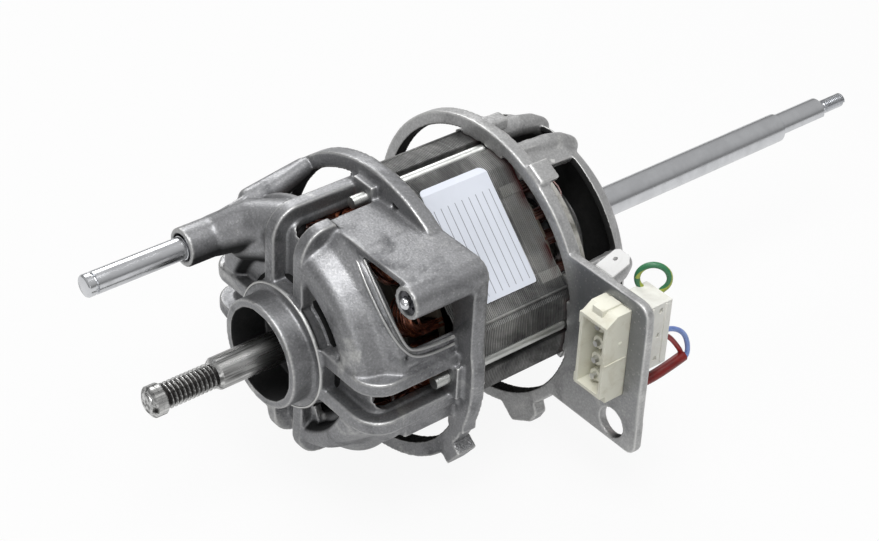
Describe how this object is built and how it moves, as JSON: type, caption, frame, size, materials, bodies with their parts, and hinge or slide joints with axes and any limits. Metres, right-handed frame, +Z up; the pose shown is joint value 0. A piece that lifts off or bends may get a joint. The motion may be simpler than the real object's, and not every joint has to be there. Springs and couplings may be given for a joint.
{
  "type": "dryer motor",
  "caption": "Brushless tumble dryer motor with die-cast end brackets, a through shaft, a belt tensioner pin and a connector plate.",
  "frame": {"origin": "on the shaft axis, in the plane of the front collar's face", "axes": "+Y along the shaft to the rear, +Z up, +X towards the connector plate"},
  "size_m": [0.125, 0.2916, 0.0995],
  "materials": {
    "cast_alloy": "die-cast, satin, slightly stained",
    "laminated_steel": "stacked sheet edges, lightly oiled",
    "insulator_nylon": "moulded nylon",
    "enamelled_copper": "enamelled copper wire",
    "zinc_steel": "zinc plated",
    "ground_steel": "ground and polished",
    "bearing_steel": "hardened and polished",
    "spring_steel": "blackened spring steel",
    "magnet": "sintered ferrite",
    "cage_nylon": "moulded nylon",
    "label_film": "bare white film",
    "ivory_nylon": "moulded nylon",
    "white_nylon": "moulded nylon",
    "tinned_brass": "tinned",
    "earth_wire": "green and yellow insulation",
    "blue_wire": "blue insulation",
    "red_wire": "red insulation",
    "phase_wire": "yellow-brown lacquered lead",
    "red_sleeve": "dark red sleeving"
  },
  "bodies": {
    "housing": {"blue_wire": "blue_wire", "boss_pin": "ground_steel", "contact_pins": "tinned_brass", "earth_loop_wire": "earth_wire", "earth_tab": "tinned_brass", "front_bearing_outer_ring": "bearing_steel", "front_bearing_shields": "zinc_steel", "front_bracket": "cast_alloy", "front_insulator": "insulator_nylon", "idler_pin": "ground_steel", "lead_sleeve": "red_sleeve", "phase_lead": "phase_wire", "plug_housing": "white_nylon", "push_nut": "zinc_steel", "rating_label": "label_film", "rear_bearing_outer_ring": "bearing_steel", "rear_bearing_shields": "zinc_steel", "rear_bracket": "cast_alloy", "rear_insulator": "insulator_nylon", "red_wire": "red_wire", "slot_wedges": "insulator_nylon", "socket_housing": "ivory_nylon", "stator_core": "laminated_steel", "tab_rivet": "zinc_steel", "terminal_strip": "white_nylon", "tie_screws": "zinc_steel", "wave_washer": "spring_steel", "winding_u": "enamelled_copper", "winding_v": "enamelled_copper", "winding_w": "enamelled_copper"},
    "rotor": {"front_bearing_inner_ring": "bearing_steel", "front_circlip": "spring_steel", "front_end_ring": "insulator_nylon", "rear_bearing_inner_ring": "bearing_steel", "rear_circlip": "spring_steel", "rear_end_ring": "insulator_nylon", "rotor_core": "laminated_steel", "rotor_magnets": "magnet", "rotor_shaft": "ground_steel"},
    "front_cage": {"front_bearing_balls": "bearing_steel", "front_bearing_cage": "cage_nylon"},
    "rear_cage": {"rear_bearing_balls": "bearing_steel", "rear_bearing_cage": "cage_nylon"}
  },
  "joints": [
    {"name": "rotor_spin", "type": "hinge", "parent": "housing", "child": "rotor", "pos_m": [0, 0.06, 0], "axis": [0, 1, 0], "continuous": true},
    {"name": "front_cage_spin", "type": "hinge", "parent": "housing", "child": "front_cage", "pos_m": [0, 0.018, 0], "axis": [0, 1, 0], "continuous": true},
    {"name": "rear_cage_spin", "type": "hinge", "parent": "housing", "child": "rear_cage", "pos_m": [0, 0.108, 0], "axis": [0, 1, 0], "continuous": true}
  ],
  "couplings": [
    {"joint": "front_cage_spin", "follows": "rotor_spin", "ratio": 0.385},
    {"joint": "rear_cage_spin", "follows": "rotor_spin", "ratio": 0.385}
  ]
}
